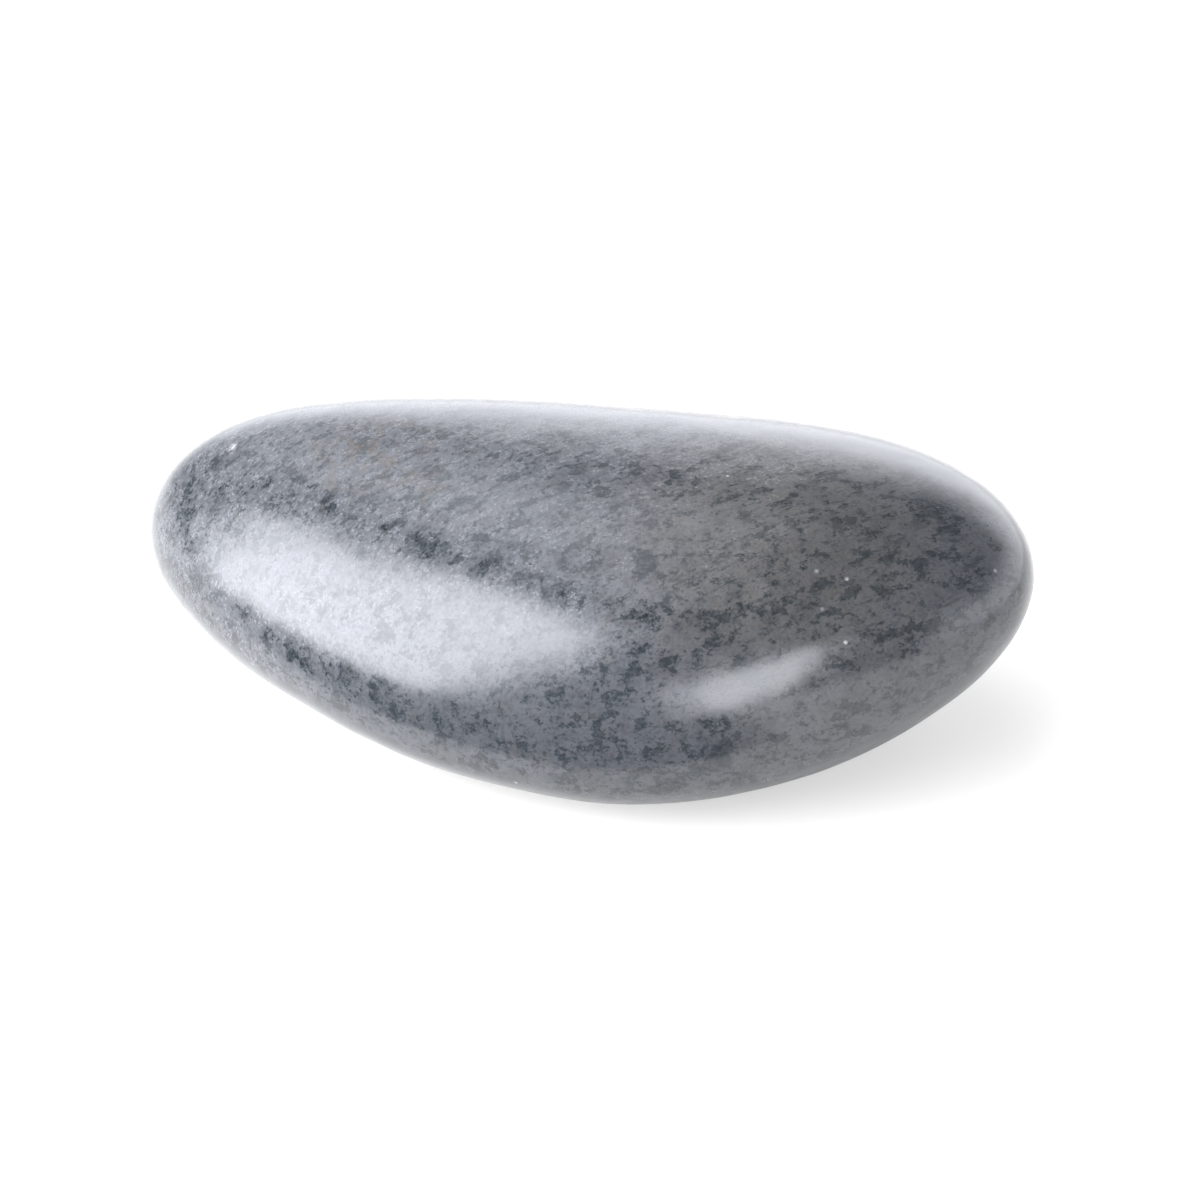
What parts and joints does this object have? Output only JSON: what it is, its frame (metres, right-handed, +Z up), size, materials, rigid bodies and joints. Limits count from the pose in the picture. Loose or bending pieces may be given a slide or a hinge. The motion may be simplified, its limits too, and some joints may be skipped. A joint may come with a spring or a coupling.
{
  "type": "river pebble",
  "caption": "Smooth, polished dark grey river pebble with a flat top, a bulging front and a rubbed flat underneath; stands free as a decorative or loose stone.",
  "frame": {"origin": "in the plane of the resting face, under the middle of the stone's box", "axes": "+X along the stone's length, +Y towards its straighter back, +Z up from the resting face"},
  "size_m": [0.0698, 0.0362, 0.0232],
  "materials": {
    "stone": "polished to a satin gloss by wear, fine dark grey grain with darker bluish clots and sparse pale specks"
  },
  "bodies": {
    "root": {"pebble": "stone"}
  },
  "joints": []
}
